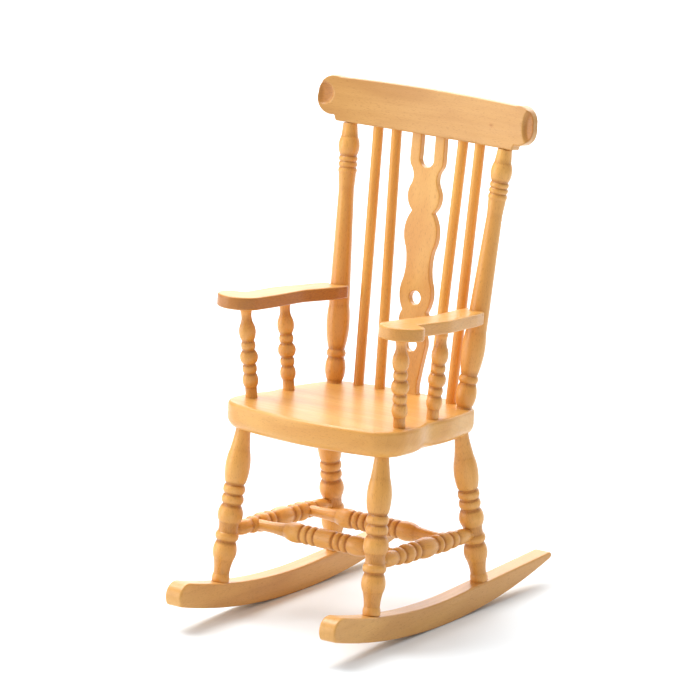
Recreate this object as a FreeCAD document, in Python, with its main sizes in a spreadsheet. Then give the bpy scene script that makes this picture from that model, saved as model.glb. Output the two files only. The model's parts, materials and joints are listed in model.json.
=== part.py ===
import FreeCAD, Part
import math
import os
import sys

import Sketcher
from FreeCAD import Placement, Rotation, Vector

# A dolls' house rocking chair in turned hardwood, at 1:12 scale.
# Millimetres. +X is to the right seen from the front, +Y is towards the back, +Z is up.
# The origin is on the floor, under the middle of the chair.
# "Left" is the -X side. The chair stands in its resting pose, where the rockers carry it
# right under its centre of mass, so the seat and the back lean a little backwards.

SIZES = {
    # rockers: one lower arc, a parallel upper arc in front and a straight taper behind
    "rocker_radius": 132.0,
    "rocker_contact": 1.05,
    "rocker_front": -36.55,
    "rocker_back": 37.45,
    "rocker_depth": 4.95,
    "rocker_taper_from": 6.25,
    "rocker_nose": 3.4,
    "rocker_nose_drop": 0.45,
    "rocker_front_round": 0.5,
    "rocker_back_round": 0.35,
    "rocker_back_slant": 0.3,
    "rocker_width": 3.9,
    "rocker_middle_x": 18.25,
    "rocker_toe_in": 1.0,
    # seat: a plank with a big rounding below and a small one above
    "seat_height": 41.86,
    "seat_tilt": 4.0,
    "seat_thickness": 5.45,
    "seat_lower_rounding": 2.5,
    "seat_upper_rounding": 0.75,
    # where the legs meet the seat and the rockers
    "front_leg_top_x": 16.97,
    "front_leg_top_y": -16.45,
    "front_foot_y": -21.85,
    "rear_leg_top_x": 16.5,
    "rear_leg_top_y": 10.35,
    "rear_foot_y": 14.65,
    # turned legs, diameters from the seat down
    "leg_neck": 2.9,
    "leg_flare": 4.0,
    "leg_belly": 4.95,
    "leg_shoulder": 4.2,
    "leg_groove": 3.6,
    "leg_ring": 4.45,
    "leg_bulge": 5.0,
    "leg_waist": 3.85,
    "leg_knee_ring": 4.7,
    "leg_knee_groove": 3.75,
    "leg_vase": 4.75,
    "leg_ankle": 3.15,
    "leg_foot": 3.5,
    "leg_foot_tenon": 2.0,
    "leg_foot_clearance": 0.22,
    # stretchers
    "stretcher_level": 0.67,
    "side_neck": 2.4,
    "side_bulb": 3.15,
    "side_end_groove": 2.8,
    "side_end_ring": 3.55,
    "side_vase": 3.95,
    "side_groove": 2.95,
    "side_ring": 3.85,
    "side_ball": 4.15,
    "side_inset": 2.25,
    "cross_front_at": 0.255,
    "cross_rear_at": 0.753,
    "cross_neck": 2.2,
    "cross_flare": 2.9,
    "cross_vase": 4.0,
    "cross_groove": 3.05,
    "cross_ring": 3.9,
    "cross_barrel": 3.85,
    "cross_inset": 1.9,
    # back: posts, spindles, splat and crest rail
    "crest_height": 92.0,
    "back_plane": 21.75,
    "back_plan_radius": 150.0,
    "back_lean": 9.4,
    "post_seat_x": 16.0,
    "post_seat_y": 11.75,
    "post_crest_x": 18.93,
    "post_base": 3.0,
    "post_bulb": 4.1,
    "post_groove": 3.25,
    "post_ring": 3.85,
    "post_belly": 4.55,
    "post_shaft_low": 4.0,
    "post_shaft_high": 3.1,
    "post_fine_ring": 3.8,
    "post_fine_groove": 3.3,
    "post_swell": 4.25,
    "post_top": 2.9,
    "post_tenon": 1.8,
    "post_crest_clearance": 0.1,
    "outer_spindle_seat_x": 11.4,
    "outer_spindle_seat_y": 13.65,
    "outer_spindle_crest_x": 12.45,
    "inner_spindle_seat_x": 6.5,
    "inner_spindle_seat_y": 14.15,
    "inner_spindle_crest_x": 8.15,
    "spindle": 2.1,
    "splat_seat_y": 14.95,
    "splat_thickness": 1.5,
    "splat_half_width": 4.1,
    "splat_hole": 2.8,
    "splat_foot_width": 5.0,
    "splat_foot_depth": 2.5,
    "splat_prong_x": 2.9,
    "splat_prong_width": 2.2,
    "splat_prong_depth": 2.0,
    "splat_seat_clearance": 0.05,
    "splat_crest_clearance": 0.03,
    "crest_half_width": 25.9,
    "crest_straight": 21.6,
    "crest_rise": 9.1,
    "crest_thickness": 2.7,
    "crest_cove_x": 24.4,
    "crest_cove_turn": 4.0,
    "crest_cove_radius": 2.6,
    "crest_cove_depth": 0.9,
    # arms and their turned supports
    "arm_height": 60.3,
    "arm_height_at_y": -6.55,
    "arm_tilt": 6.2,
    "arm_thickness": 2.6,
    "arm_rounding": 0.4,
    "arm_bore_clearance": 0.12,
    "front_support_seat_x": 18.1,
    "front_support_seat_y": -12.45,
    "front_support_arm_x": 19.0,
    "front_support_arm_y": -13.15,
    "rear_support_seat_x": 17.65,
    "rear_support_seat_y": -1.05,
    "rear_support_arm_x": 19.4,
    "rear_support_arm_y": -0.20,
    "support_base": 2.35,
    "support_vase": 3.15,
    "support_groove": 2.35,
    "support_ring": 2.9,
    "support_bead": 3.6,
    "support_upper_vase": 3.35,
    "support_wrist": 2.05,
    "support_top": 2.1,
    # joints
    "glue_gap": 0.02,
    "seat_tenon": 2.4,
    "rocker_tenon": 2.6,
    "stretcher_tenon": 1.2,
    "crest_tenon": 4.0,
    "arm_tenon": 1.3,
}

# The outlines below are walked along a piece. A step is a "line" to a place and a diameter,
# or an "arc" through one pair to another; places are fractions of the piece's length.

# turned leg, from the seat down
LEG = (
    ("line", 0.00, "leg_neck"),
    ("arc", 0.075, 3.4, 0.14, "leg_flare"),
    ("arc", 0.265, "leg_belly", 0.352, "leg_shoulder"),
    ("line", 0.366, "leg_groove"),
    ("arc", 0.401, "leg_ring", 0.431, "leg_groove"),
    ("arc", 0.467, "leg_ring", 0.498, "leg_groove"),
    ("arc", 0.555, "leg_bulge", 0.618, 4.1),
    ("arc", 0.650, "leg_waist", 0.678, 3.95),
    ("arc", 0.707, "leg_knee_ring", 0.737, "leg_knee_groove"),
    ("arc", 0.792, "leg_vase", 0.860, 3.95),
    ("arc", 0.915, 3.3, 0.952, "leg_ankle"),
    ("arc", 0.975, "leg_foot", 1.0, 3.45),
)

# turned side stretcher, up to its middle; the other half mirrors it
SIDE_STRETCHER = (
    ("line", 0.00, "side_neck"),
    ("arc", 0.08, "side_bulb", 0.148, "side_end_groove"),
    ("arc", 0.187, "side_end_ring", 0.226, "side_end_groove"),
    ("arc", 0.290, "side_vase", 0.335, "side_groove"),
    ("arc", 0.367, "side_ring", 0.398, "side_groove"),
    ("arc", 0.50, "side_ball", 0.602, "side_groove"),
)

# turned cross stretcher, up to its middle
CROSS_STRETCHER = (
    ("line", 0.00, "cross_neck"),
    ("arc", 0.12, 2.4, 0.19, "cross_flare"),
    ("arc", 0.280, "cross_vase", 0.312, 3.7),
    ("line", 0.323, "cross_groove"),
    ("arc", 0.350, "cross_ring", 0.376, "cross_groove"),
    ("arc", 0.403, "cross_ring", 0.429, "cross_groove"),
    ("line", 0.441, "cross_barrel"),
    ("line", 0.559, "cross_barrel"),
)

# turned back post, from the seat up
BACK_POST = (
    ("line", 0.00, "post_base"),
    ("line", 0.006, "post_base"),
    ("arc", 0.066, "post_bulb", 0.098, "post_groove"),
    ("arc", 0.113, "post_ring", 0.129, "post_groove"),
    ("arc", 0.205, "post_belly", 0.300, 4.15),
    ("line", 0.385, "post_shaft_low"),
    ("line", 0.750, "post_shaft_high"),
    ("line", 0.811, 3.55),
    ("arc", 0.822, "post_fine_ring", 0.833, "post_fine_groove"),
    ("arc", 0.844, "post_fine_ring", 0.855, "post_fine_groove"),
    ("arc", 0.866, "post_fine_ring", 0.877, "post_fine_groove"),
    ("arc", 0.911, "post_swell", 0.952, 3.4),
    ("line", 1.00, "post_top"),
)

# turned arm support, from the seat up
ARM_SUPPORT = (
    ("line", 0.00, "support_base"),
    ("line", 0.115, "support_base"),
    ("arc", 0.195, "support_vase", 0.270, "support_groove"),
    ("arc", 0.322, "support_ring", 0.372, "support_groove"),
    ("arc", 0.450, "support_bead", 0.527, "support_groove"),
    ("arc", 0.577, "support_ring", 0.628, "support_groove"),
    ("arc", 0.715, "support_upper_vase", 0.82, 2.6),
    ("arc", 0.895, "support_wrist", 0.955, 2.3),
    ("line", 1.00, "support_top"),
)

# right half of the splat: shares of its half width and of its height, walked from the seat
# up to the mouth of the slot between its two prongs, and down the slot's straight side
SPLAT_EDGE = (
    ("line", 0.575, 0.000),
    ("line", 0.550, 0.033),
    ("arc", 0.690, 0.110, 0.866, 0.185),
    ("arc", 0.840, 0.215, 0.700, 0.242),
    ("arc", 0.855, 0.280, 0.700, 0.318),
    ("arc", 0.935, 0.371, 0.800, 0.440),
    ("arc", 0.707, 0.498, 0.800, 0.560),
    ("arc", 0.955, 0.645, 0.615, 0.704),
    ("arc", 0.945, 0.752, 0.780, 0.808),
    ("arc", 0.715, 0.845, 0.930, 0.880),
    ("arc", 0.978, 0.893, 0.995, 0.912),
    ("line", 0.970, 1.000),
    ("line", 0.405, 1.000),
    ("line", 0.405, 0.918),
)
SPLAT_SLOT_BOTTOM = 0.876
SPLAT_HOLES = (0.189, 0.371)

# right half of the seat's outline, from the front to the back: corners of a polygon in
# millimetres, each with the radius that rounds it
SEAT_FRONT = (0.0, -23.75, 62.0)
SEAT_SIDE = (
    (21.35, -18.85, 6.5),
    (21.2, -9.35, 12.0),
    (19.7, -4.85, 9.0),
    (20.1, 2.45, 30.0),
    (17.8, 14.05, 4.0),
)
SEAT_REAR = (0.0, 19.05, 46.0)

# outline of the right arm: the same kind of corners, from the middle of the post's bore.
# The walk goes up the inner edge, round the paddle, over its notch and back outside.
ARM_CORNERS = (
    (-2.6, 0.1, 1.0),
    (-2.6, -4.0, 8.0),
    (-1.0, -13.0, 14.0),
    (-1.7, -24.0, 14.0),
    (-1.9, -32.2, 4.3),
    (6.2, -34.4, 4.8),
    (8.0, -27.6, 2.2),
    (4.2, -25.8, 0.15),
    (4.9, -16.0, 14.0),
    (3.4, -5.0, 10.0),
    (2.5, -1.2, 1.3),
)

# how far cutting tools reach past the material they cut
OVERSHOOT = 2.0
# how far the splat's tongues run into its board, to fuse with it
LAP = 0.2

doc = FreeCAD.newDocument("rocking_chair")
sheet = doc.addObject("Spreadsheet::Sheet", "sizes")
size = {}


def store(alias, value):
    """Put one dimension in the sheet, under its alias."""
    size[alias] = value
    row = len(size)
    sheet.set("A%d" % row, alias)
    sheet.set("B%d" % row, "%.5f" % value)
    sheet.setAlias("B%d" % row, alias)


def cell(value):
    """The expression and the number of a dimension that is an alias or a plain number."""
    if isinstance(value, str):
        return "sizes.%s" % value, size[value]
    return "%.5f" % value, value


for name, number in SIZES.items():
    store(name, number)


def rocker_lower_z(y):
    """Height of the rocker's lower edge above the floor."""
    reach = y - size["rocker_contact"]
    return size["rocker_radius"] - math.sqrt(size["rocker_radius"] ** 2 - reach ** 2)


def rocker_upper_z(y):
    """Height of the rocker's upper edge, which runs straight behind the taper's start."""
    radius = size["rocker_radius"] - size["rocker_depth"]
    start = min(y, size["rocker_taper_from"])
    reach = start - size["rocker_contact"]
    arc = size["rocker_radius"] - math.sqrt(radius ** 2 - reach ** 2)
    return arc + (y - start) * reach / math.sqrt(radius ** 2 - reach ** 2)


def seat_top(x, y):
    """A point on the seat's flat upper face."""
    return Vector(x, y, size["seat_height"] - y * math.tan(math.radians(size["seat_tilt"])))


def seat_under(x, y):
    """A point on the seat's underside."""
    drop = size["seat_thickness"] / math.cos(math.radians(size["seat_tilt"]))
    return seat_top(x, y) - Vector(0, 0, drop)


def crest_under(x):
    """A point in the middle of the crest rail's lower edge, which bows gently backwards."""
    bow = x ** 2 / (2 * size["back_plan_radius"])
    return Vector(x, size["back_plane"] - bow, size["crest_height"])


def arm_under(x, y):
    """A point on the underside of an arm."""
    fall = (y - size["arm_height_at_y"]) * math.tan(math.radians(size["arm_tilt"]))
    return Vector(x, y, size["arm_height"] - fall)


def mirrored(point):
    """The same point on the left side."""
    return Vector(-point.x, point.y, point.z)


def along(start, end, fraction):
    """A point between two others."""
    return start + (end - start) * fraction


def stand(start, end):
    """The placement that carries a piece's own Z axis from start towards end."""
    return Placement(start, Rotation(Vector(0, 0, 1), end - start))


def rocker_top(y):
    """A point in the middle of the right rocker's upper edge; the rockers close in behind."""
    across = size["rocker_middle_x"] - y * math.tan(math.radians(size["rocker_toe_in"]))
    return Vector(across, y, rocker_upper_z(y))


# the skeleton: both ends of every turned piece on the right side
ENDS = {
    "leg_front": (
        seat_under(size["front_leg_top_x"], size["front_leg_top_y"]),
        rocker_top(size["front_foot_y"]),
    ),
    "leg_rear": (
        seat_under(size["rear_leg_top_x"], size["rear_leg_top_y"]),
        rocker_top(size["rear_foot_y"]),
    ),
    "back_post": (
        seat_top(size["post_seat_x"], size["post_seat_y"]),
        crest_under(size["post_crest_x"]),
    ),
    "outer_spindle": (
        seat_top(size["outer_spindle_seat_x"], size["outer_spindle_seat_y"]),
        crest_under(size["outer_spindle_crest_x"]),
    ),
    "inner_spindle": (
        seat_top(size["inner_spindle_seat_x"], size["inner_spindle_seat_y"]),
        crest_under(size["inner_spindle_crest_x"]),
    ),
    "support_front": (
        seat_top(size["front_support_seat_x"], size["front_support_seat_y"]),
        arm_under(size["front_support_arm_x"], size["front_support_arm_y"]),
    ),
    "support_rear": (
        seat_top(size["rear_support_seat_x"], size["rear_support_seat_y"]),
        arm_under(size["rear_support_arm_x"], size["rear_support_arm_y"]),
    ),
}
front_knee = along(*ENDS["leg_front"], size["stretcher_level"])
rear_knee = along(*ENDS["leg_rear"], size["stretcher_level"])


def inset(start, end, start_by, end_by):
    """Both ends moved towards each other, from the axes of two pieces to their surfaces."""
    way = (end - start).normalize()
    return start + way * start_by, end - way * end_by


ENDS["side_stretcher"] = inset(front_knee, rear_knee, size["side_inset"], size["side_inset"])
for where in ("front", "rear"):
    middle = along(front_knee, rear_knee, size["cross_%s_at" % where])
    both = size["cross_inset"]
    ENDS["cross_" + where] = inset(mirrored(middle), middle, both, both)

for name, (start, end) in ENDS.items():
    store(name + "_length", (end - start).Length)


def origin_plane(body, role):
    """One of the body's own origin planes."""
    return next(f for f in body.Origin.OriginFeatures if f.Role == role)


def new_body(name):
    return doc.addObject("PartDesign::Body", name)


def new_sketch(body, name, role):
    sketch = body.newObject("Sketcher::SketchObject", name)
    sketch.AttachmentSupport = (origin_plane(body, role), [""])
    sketch.MapMode = "FlatFace"
    return sketch


def pin(sketch, geometry, position, across, up):
    """Hold a sketch point at a place that follows the sheet."""
    for kind, (expression, value), axis in (("DistanceX", across, -2), ("DistanceY", up, -1)):
        if abs(value) < 1e-9:
            sketch.addConstraint(Sketcher.Constraint("PointOnObject", geometry, position, axis))
        else:
            rule = Sketcher.Constraint(kind, -1, 1, geometry, position, value)
            index = sketch.addConstraint(rule)
            sketch.setExpression("Constraints[%d]" % index, expression)


def end_position(sketch, geometry, point):
    """Which end of a curve lies at a point: 1 is its start and 2 its end."""
    return min((1, 2), key=lambda p: (sketch.getPoint(geometry, p) - point).Length)


def draw(sketch, start, steps):
    """Draw a closed outline of lines and arcs. A place is a pair of (expression, number)."""
    spot = start
    ends = []
    for step in steps:
        here = Vector(spot[0][1], spot[1][1], 0)
        spot = step[-2:]
        there = Vector(spot[0][1], spot[1][1], 0)
        if len(step) == 2:
            geometry = sketch.addGeometry(Part.LineSegment(here, there), False)
        else:
            via = Vector(step[0][1], step[1][1], 0)
            geometry = sketch.addGeometry(Part.Arc(here, via, there), False)
        last = end_position(sketch, geometry, there)
        ends.append((geometry, 3 - last, last))
        if len(step) == 4:
            mark = sketch.addGeometry(Part.Point(via), True)
            pin(sketch, mark, 1, *step[:2])
            sketch.addConstraint(Sketcher.Constraint("PointOnObject", mark, 1, geometry))
        pin(sketch, geometry, last, *spot)
    previous = ends[-1]
    for current in ends:
        rule = Sketcher.Constraint("Coincident", previous[0], previous[2], current[0], current[1])
        sketch.addConstraint(rule)
        previous = current


def round_off(sketch, corners):
    """Draw a closed polygon whose corners are rounded by arcs tangent to both sides."""
    spots = [Vector(x, y, 0) for x, y, _ in corners]
    ends = []
    for index, (corner, spec) in enumerate(zip(spots, corners)):
        before = (spots[index - 1] - corner).normalize()
        after = (spots[(index + 1) % len(spots)] - corner).normalize()
        half_angle = before.getAngle(after) / 2
        reach = spec[2] / math.tan(half_angle)
        inward = (before + after).normalize()
        middle = corner + inward * (spec[2] / math.sin(half_angle) - spec[2])
        ends.append((corner + before * reach, middle, corner + after * reach))
    curves = []
    for index, (first, middle, last) in enumerate(ends):
        curves.append(Part.Arc(first, middle, last))
        curves.append(Part.LineSegment(last, ends[(index + 1) % len(ends)][0]))
    for index, curve in enumerate(curves):
        sketch.addGeometry(curve, False)
        sketch.addConstraint(Sketcher.Constraint("Block", index))


def times(base, fraction):
    """A fraction of a dimension, as an expression and a number."""
    expression, value = cell(base)
    return "%s * %.5f" % (expression, fraction), value * fraction


def plus(base, extra):
    """A dimension with another added, as an expression and a number."""
    first, second = cell(base), cell(extra)
    return "%s + %s" % (first[0], second[0]), first[1] + second[1]


def minus(base):
    expression, value = cell(base)
    return "-%s" % expression, -value


def turning(name, length, rows, first_tenon, last_tenon, foot_tenon=None):
    """A turned piece: the half outline, revolved about the body's Z axis."""
    body = new_body(name)
    sketch = new_sketch(body, name + "_outline", "XZ_Plane")
    neck = rows[0][-1]
    last = foot_tenon or rows[-1][-1]
    axis = cell(0.0)
    steps = [(times(neck, 0.5), minus(first_tenon))]
    for row in rows:
        place = []
        for fraction, diameter in zip(row[1::2], row[2::2]):
            place += [times(diameter, 0.5), times(length, fraction)]
        steps.append(tuple(place))
    if foot_tenon:
        steps.append((times(last, 0.5), times(length, 1.0)))
    top = plus(length, last_tenon)
    steps.append((times(last, 0.5), top))
    steps.append((axis, top))
    steps.append((axis, minus(first_tenon)))
    draw(sketch, (axis, minus(first_tenon)), steps)
    turned = body.newObject("PartDesign::Revolution", name + "_turned")
    turned.Profile = sketch
    turned.ReferenceAxis = (sketch, ["V_Axis"])
    turned.Angle = 360
    return body


def both_halves(rows):
    """The rows of a piece whose second half mirrors its first."""
    turned_back = []
    for index in range(len(rows) - 1, 0, -1):
        row, before = rows[index], rows[index - 1]
        if row[0] == "arc":
            turned_back.append(("arc", 1 - row[1], row[2], 1 - before[-2], before[-1]))
        else:
            turned_back.append(("line", 1 - before[-2], before[-1]))
    middle = rows[-1][-2]
    kept = [row for row in turned_back if row[-2] > middle + 1e-6]
    return tuple(rows) + tuple(kept)


def socket(name, start, end, diameter, depth):
    """A round hole along a piece's axis, from start towards end, for that piece's tenon."""
    hole = doc.addObject("Part::Cylinder", name)
    hole.setExpression("Radius", "%s / 2 + sizes.glue_gap" % cell(diameter)[0])
    hole.setExpression("Height", "%s + %s" % (cell(depth)[0], cell(OVERSHOOT)[0]))
    away = (start - end).normalize()
    hole.Placement = stand(start + away * OVERSHOOT, end)
    return hole


def carve(name, blank, tools):
    """The finished piece: a blank with every socket cut from it."""
    cutter = tools[0]
    if len(tools) > 1:
        cutter = doc.addObject("Part::MultiFuse", name + "_sockets")
        cutter.Shapes = tools
    piece = doc.addObject("Part::Cut", name)
    piece.Base = blank
    piece.Tool = cutter
    piece.Label = name
    return piece


def round_edges(body, name, level, radius):
    """Round every edge of a flat blank that lies at one height of its own frame."""
    doc.recompute()
    base = body.Tip
    edges = ["Edge%d" % (i + 1) for i, edge in enumerate(base.Shape.Edges)
             if all(abs(v.Point.z - level) < 1e-4 for v in edge.Vertexes)]
    rounding = body.newObject("PartDesign::Fillet", name)
    rounding.Base = (base, edges)
    rounding.setExpression("Radius", "sizes." + radius)
    doc.recompute()


SIDES = (("left", -1), ("right", 1))


def side_ends(key, sign):
    """Both ends of a skeleton line on one side."""
    start, end = ENDS[key]
    if sign < 0:
        return mirrored(start), mirrored(end)
    return start, end


def into(start, end, depth, name, diameter):
    """The socket that takes the tenon beyond the end of a line."""
    way = (end - start).normalize()
    return socket(name, end, end + way, diameter, depth)


# ---- rockers ------------------------------------------------------------------------

def rocker(side, sign):
    """One runner, sawn from a plank: the outline padded by the plank's width."""
    name = "rocker_" + side
    body = new_body(name + "_blank")
    sketch = new_sketch(body, name + "_outline", "YZ_Plane")
    radius = size["rocker_radius"]
    front = size["rocker_front"] + size["rocker_front_round"]
    back = size["rocker_back"] - size["rocker_back_round"]
    back_top_y = back - size["rocker_back_slant"]
    nose_y = size["rocker_front"] + size["rocker_nose"]
    taper_y = size["rocker_taper_from"]
    centre = Vector(size["rocker_contact"], radius, 0)

    def spot(y, z):
        return Vector(y, z, 0)

    low_front = spot(front, rocker_lower_z(front))
    low_back = spot(back, rocker_lower_z(back))
    lowest = spot(centre.x, 0)
    top_front = spot(nose_y, rocker_upper_z(nose_y))
    top_taper = spot(taper_y, rocker_upper_z(taper_y))
    top_mid = spot((nose_y + taper_y) / 2, rocker_upper_z((nose_y + taper_y) / 2))
    top_back = spot(back_top_y, rocker_upper_z(back_top_y))
    half_up = (low_front.y + top_front.y) / 2
    nose = spot(size["rocker_front"], half_up - size["rocker_nose_drop"])
    tip = spot(size["rocker_back"], (low_back.y + top_back.y) / 2)
    curves = (
        Part.Arc(low_front, lowest, low_back),
        Part.Arc(low_back, tip, top_back),
        Part.LineSegment(top_back, top_taper),
        Part.Arc(top_taper, top_mid, top_front),
        Part.Arc(top_front, nose, low_front),
    )
    for curve in curves:
        sketch.addGeometry(curve, False)
    rules = (
        (0, "Radius", "sizes.rocker_radius", radius),
        (3, "Radius", "sizes.rocker_radius - sizes.rocker_depth", radius - size["rocker_depth"]),
    )
    for geometry, kind, expression, value in rules:
        index = sketch.addConstraint(Sketcher.Constraint(kind, geometry, value))
        sketch.setExpression("Constraints[%d]" % index, expression)
        for axis, text, number in (
            ("DistanceX", "sizes.rocker_contact", centre.x),
            ("DistanceY", "sizes.rocker_radius", centre.y),
        ):
            index = sketch.addConstraint(Sketcher.Constraint(axis, -1, 1, geometry, 3, number))
            sketch.setExpression("Constraints[%d]" % index, text)
    corners = (low_back, top_back, top_taper, top_front, low_front)
    for index, corner in enumerate(corners):
        following = (index + 1) % len(curves)
        rule = Sketcher.Constraint(
            "Coincident",
            index,
            end_position(sketch, index, corner),
            following,
            end_position(sketch, following, corner),
        )
        sketch.addConstraint(rule)
    rear_rule = "sizes.rocker_back - sizes.rocker_back_round - sizes.rocker_back_slant"
    reach = (
        (0, low_front, "sizes.rocker_front + sizes.rocker_front_round", front),
        (0, low_back, "sizes.rocker_back - sizes.rocker_back_round", back),
        (3, top_front, "sizes.rocker_front + sizes.rocker_nose", nose_y),
        (3, top_taper, "sizes.rocker_taper_from", taper_y),
        (2, top_back, rear_rule, back_top_y),
    )
    for geometry, point, expression, value in reach:
        position = end_position(sketch, geometry, point)
        index = sketch.addConstraint(Sketcher.Constraint("DistanceX", -1, 1, geometry, position, value))
        sketch.setExpression("Constraints[%d]" % index, expression)
    pad = body.newObject("PartDesign::Pad", name + "_plank")
    pad.Profile = sketch
    pad.Midplane = True
    pad.setExpression("Length", "sizes.rocker_width")
    body.Placement = Placement(
        Vector(sign * size["rocker_middle_x"], 0, 0),
        Rotation(Vector(0, 0, 1), sign * size["rocker_toe_in"]),
    )
    tools = []
    for leg in ("leg_front", "leg_rear"):
        start, end = side_ends(leg, sign)
        tools.append(into(start, end, "rocker_tenon", "%s_%s_hole" % (name, leg), "leg_foot_tenon"))
    return carve(name, body, tools)


pieces = [rocker(side, sign) for side, sign in SIDES]


# ---- legs and stretchers ------------------------------------------------------------

def leg(where, side, sign):
    """A turned leg, with a blind socket in its waist for the side stretcher."""
    name = "leg_%s_%s" % (where, side)
    key = "leg_" + where
    start, end = side_ends(key, sign)
    body = turning(name + "_turning", key + "_body_length", LEG, "seat_tenon",
                   "rocker_tenon", "leg_foot_tenon")
    body.Placement = stand(start, end)
    stretcher = side_ends("side_stretcher", sign)
    if where == "front":
        stretcher = stretcher[::-1]
    hole = into(stretcher[0], stretcher[1], "stretcher_tenon", name + "_hole", "side_neck")
    return carve(name, body, [hole])


for where in ("front", "rear"):
    store("leg_%s_body_length" % where, size["leg_%s_length" % where] - size["leg_foot_clearance"])
for where in ("front", "rear"):
    pieces += [leg(where, side, sign) for side, sign in SIDES]


def side_stretcher(side, sign):
    """A turned rail from the front leg to the rear leg, with sockets for the cross rails."""
    name = "side_stretcher_" + side
    start, end = side_ends("side_stretcher", sign)
    body = turning(name + "_turning", "side_stretcher_length", both_halves(SIDE_STRETCHER),
                   "stretcher_tenon", "stretcher_tenon")
    body.Placement = stand(start, end)
    tools = []
    for where in ("front", "rear"):
        cross = ENDS["cross_" + where]
        if sign < 0:
            cross = cross[::-1]
        hole_name = "%s_%s_hole" % (name, where)
        tools.append(into(cross[0], cross[1], "stretcher_tenon", hole_name, "cross_neck"))
    return carve(name, body, tools)


pieces += [side_stretcher(side, sign) for side, sign in SIDES]


def cross_stretcher(where):
    """A turned rail between the two side stretchers."""
    body = turning("cross_stretcher_" + where, "cross_%s_length" % where,
                   both_halves(CROSS_STRETCHER), "stretcher_tenon", "stretcher_tenon")
    body.Placement = stand(*ENDS["cross_" + where])
    return body


pieces += [cross_stretcher(where) for where in ("front", "rear")]


# ---- back ---------------------------------------------------------------------------

def back_post(side, sign):
    """A turned post from the seat to the crest rail."""
    body = turning("back_post_" + side, "back_post_body_length", BACK_POST, "seat_tenon",
                   "crest_tenon", "post_tenon")
    body.Placement = stand(*side_ends("back_post", sign))
    return body


def spindle(number, key, sign):
    """A plain round rod with its tenons in one piece."""
    rod = doc.addObject("Part::Cylinder", "back_spindle_%d" % number)
    rod.setExpression("Radius", "sizes.spindle / 2")
    rod.setExpression("Height", "sizes.%s_length + sizes.seat_tenon + sizes.crest_tenon" % key)
    start, end = side_ends(key, sign)
    below = (start - end).normalize() * size["seat_tenon"]
    rod.Placement = stand(start + below, end)
    return rod


store("back_post_body_length", size["back_post_length"] - size["post_crest_clearance"])
pieces += [back_post(side, sign) for side, sign in SIDES]
ROW = (("outer_spindle", -1), ("inner_spindle", -1), ("inner_spindle", 1), ("outer_spindle", 1))
pieces += [spindle(i + 1, key, sign) for i, (key, sign) in enumerate(ROW)]

splat_foot = seat_top(0, size["splat_seat_y"]) + Vector(0, 0, size["splat_seat_clearance"])
splat_head = crest_under(0) - Vector(0, 0, size["splat_crest_clearance"])
store("splat_height", (splat_head - splat_foot).Length)
splat_turn = Rotation(Vector(0, 0, 1), splat_head - splat_foot)


def splat_blank():
    """The sawn fiddle-shaped board with the slot between its prongs."""
    body = new_body("splat_board")
    sketch = new_sketch(body, "splat_outline", "XZ_Plane")
    half = []
    for row in SPLAT_EDGE:
        place = []
        for across, up in zip(row[1::2], row[2::2]):
            place += [times("splat_half_width", across), times("splat_height", up)]
        half.append(tuple(place))
    slot = (cell(0.0), times("splat_height", SPLAT_SLOT_BOTTOM))
    slot += (minus_pair(half[-1][-2]), half[-1][-1])
    draw(sketch, half[0], half[1:] + [slot] + reflected(half) + [half[0]])
    pad = body.newObject("PartDesign::Pad", "splat_board_pad")
    pad.Profile = sketch
    pad.Midplane = True
    pad.setExpression("Length", "sizes.splat_thickness")
    return body


def minus_pair(pair):
    """The same sketch distance to the other side of the axis."""
    return "-(%s)" % pair[0], -pair[1]


def reflected(half):
    """The steps of a half outline walked backwards on the other side of the axis."""
    steps = []
    for step, before in zip(half[:0:-1], half[-2::-1]):
        target = (minus_pair(before[-2]), before[-1])
        if len(step) == 4:
            target = (minus_pair(step[0]), step[1]) + target
        steps.append(target)
    return steps


def splat_tenon(name, centre, wide, bottom, tall):
    """A flat tongue at an end of the splat, lapped into the board."""
    tongue = doc.addObject("Part::Box", name)
    tongue.setExpression("Length", "sizes." + wide)
    tongue.setExpression("Width", "sizes.splat_thickness")
    tongue.setExpression("Height", "sizes.%s + %s" % (tall, cell(LAP)[0]))
    local = Vector(centre - size[wide] / 2, -size["splat_thickness"] / 2, bottom)
    tongue.Placement = Placement(splat_foot, splat_turn) * Placement(local, Rotation())
    return tongue


def splat_hole(name, height):
    """A round hole drilled square through the board."""
    drill = doc.addObject("Part::Cylinder", name)
    drill.setExpression("Radius", "sizes.splat_hole / 2")
    drill.setExpression("Height", "sizes.splat_thickness * 3")
    local = Vector(0, size["splat_thickness"] * 1.5, height)
    lying = Placement(local, Rotation(Vector(1, 0, 0), 90))
    drill.Placement = Placement(splat_foot, splat_turn) * lying
    return drill


board = splat_blank()
board.Placement = Placement(splat_foot, splat_turn)
height = size["splat_height"]
tenons = [
    splat_tenon("splat_foot_tenon", 0, "splat_foot_width", -size["splat_foot_depth"],
                "splat_foot_depth"),
]
for side, sign in SIDES:
    tenons.append(splat_tenon("splat_%s_tenon" % side, sign * size["splat_prong_x"],
                              "splat_prong_width", height - LAP, "splat_prong_depth"))
solid_board = doc.addObject("Part::MultiFuse", "splat_with_tenons")
solid_board.Shapes = [board] + tenons
holes = [splat_hole("splat_hole_%d" % i, height * at) for i, at in enumerate(SPLAT_HOLES)]
pieces.append(carve("splat", solid_board, holes))


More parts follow.
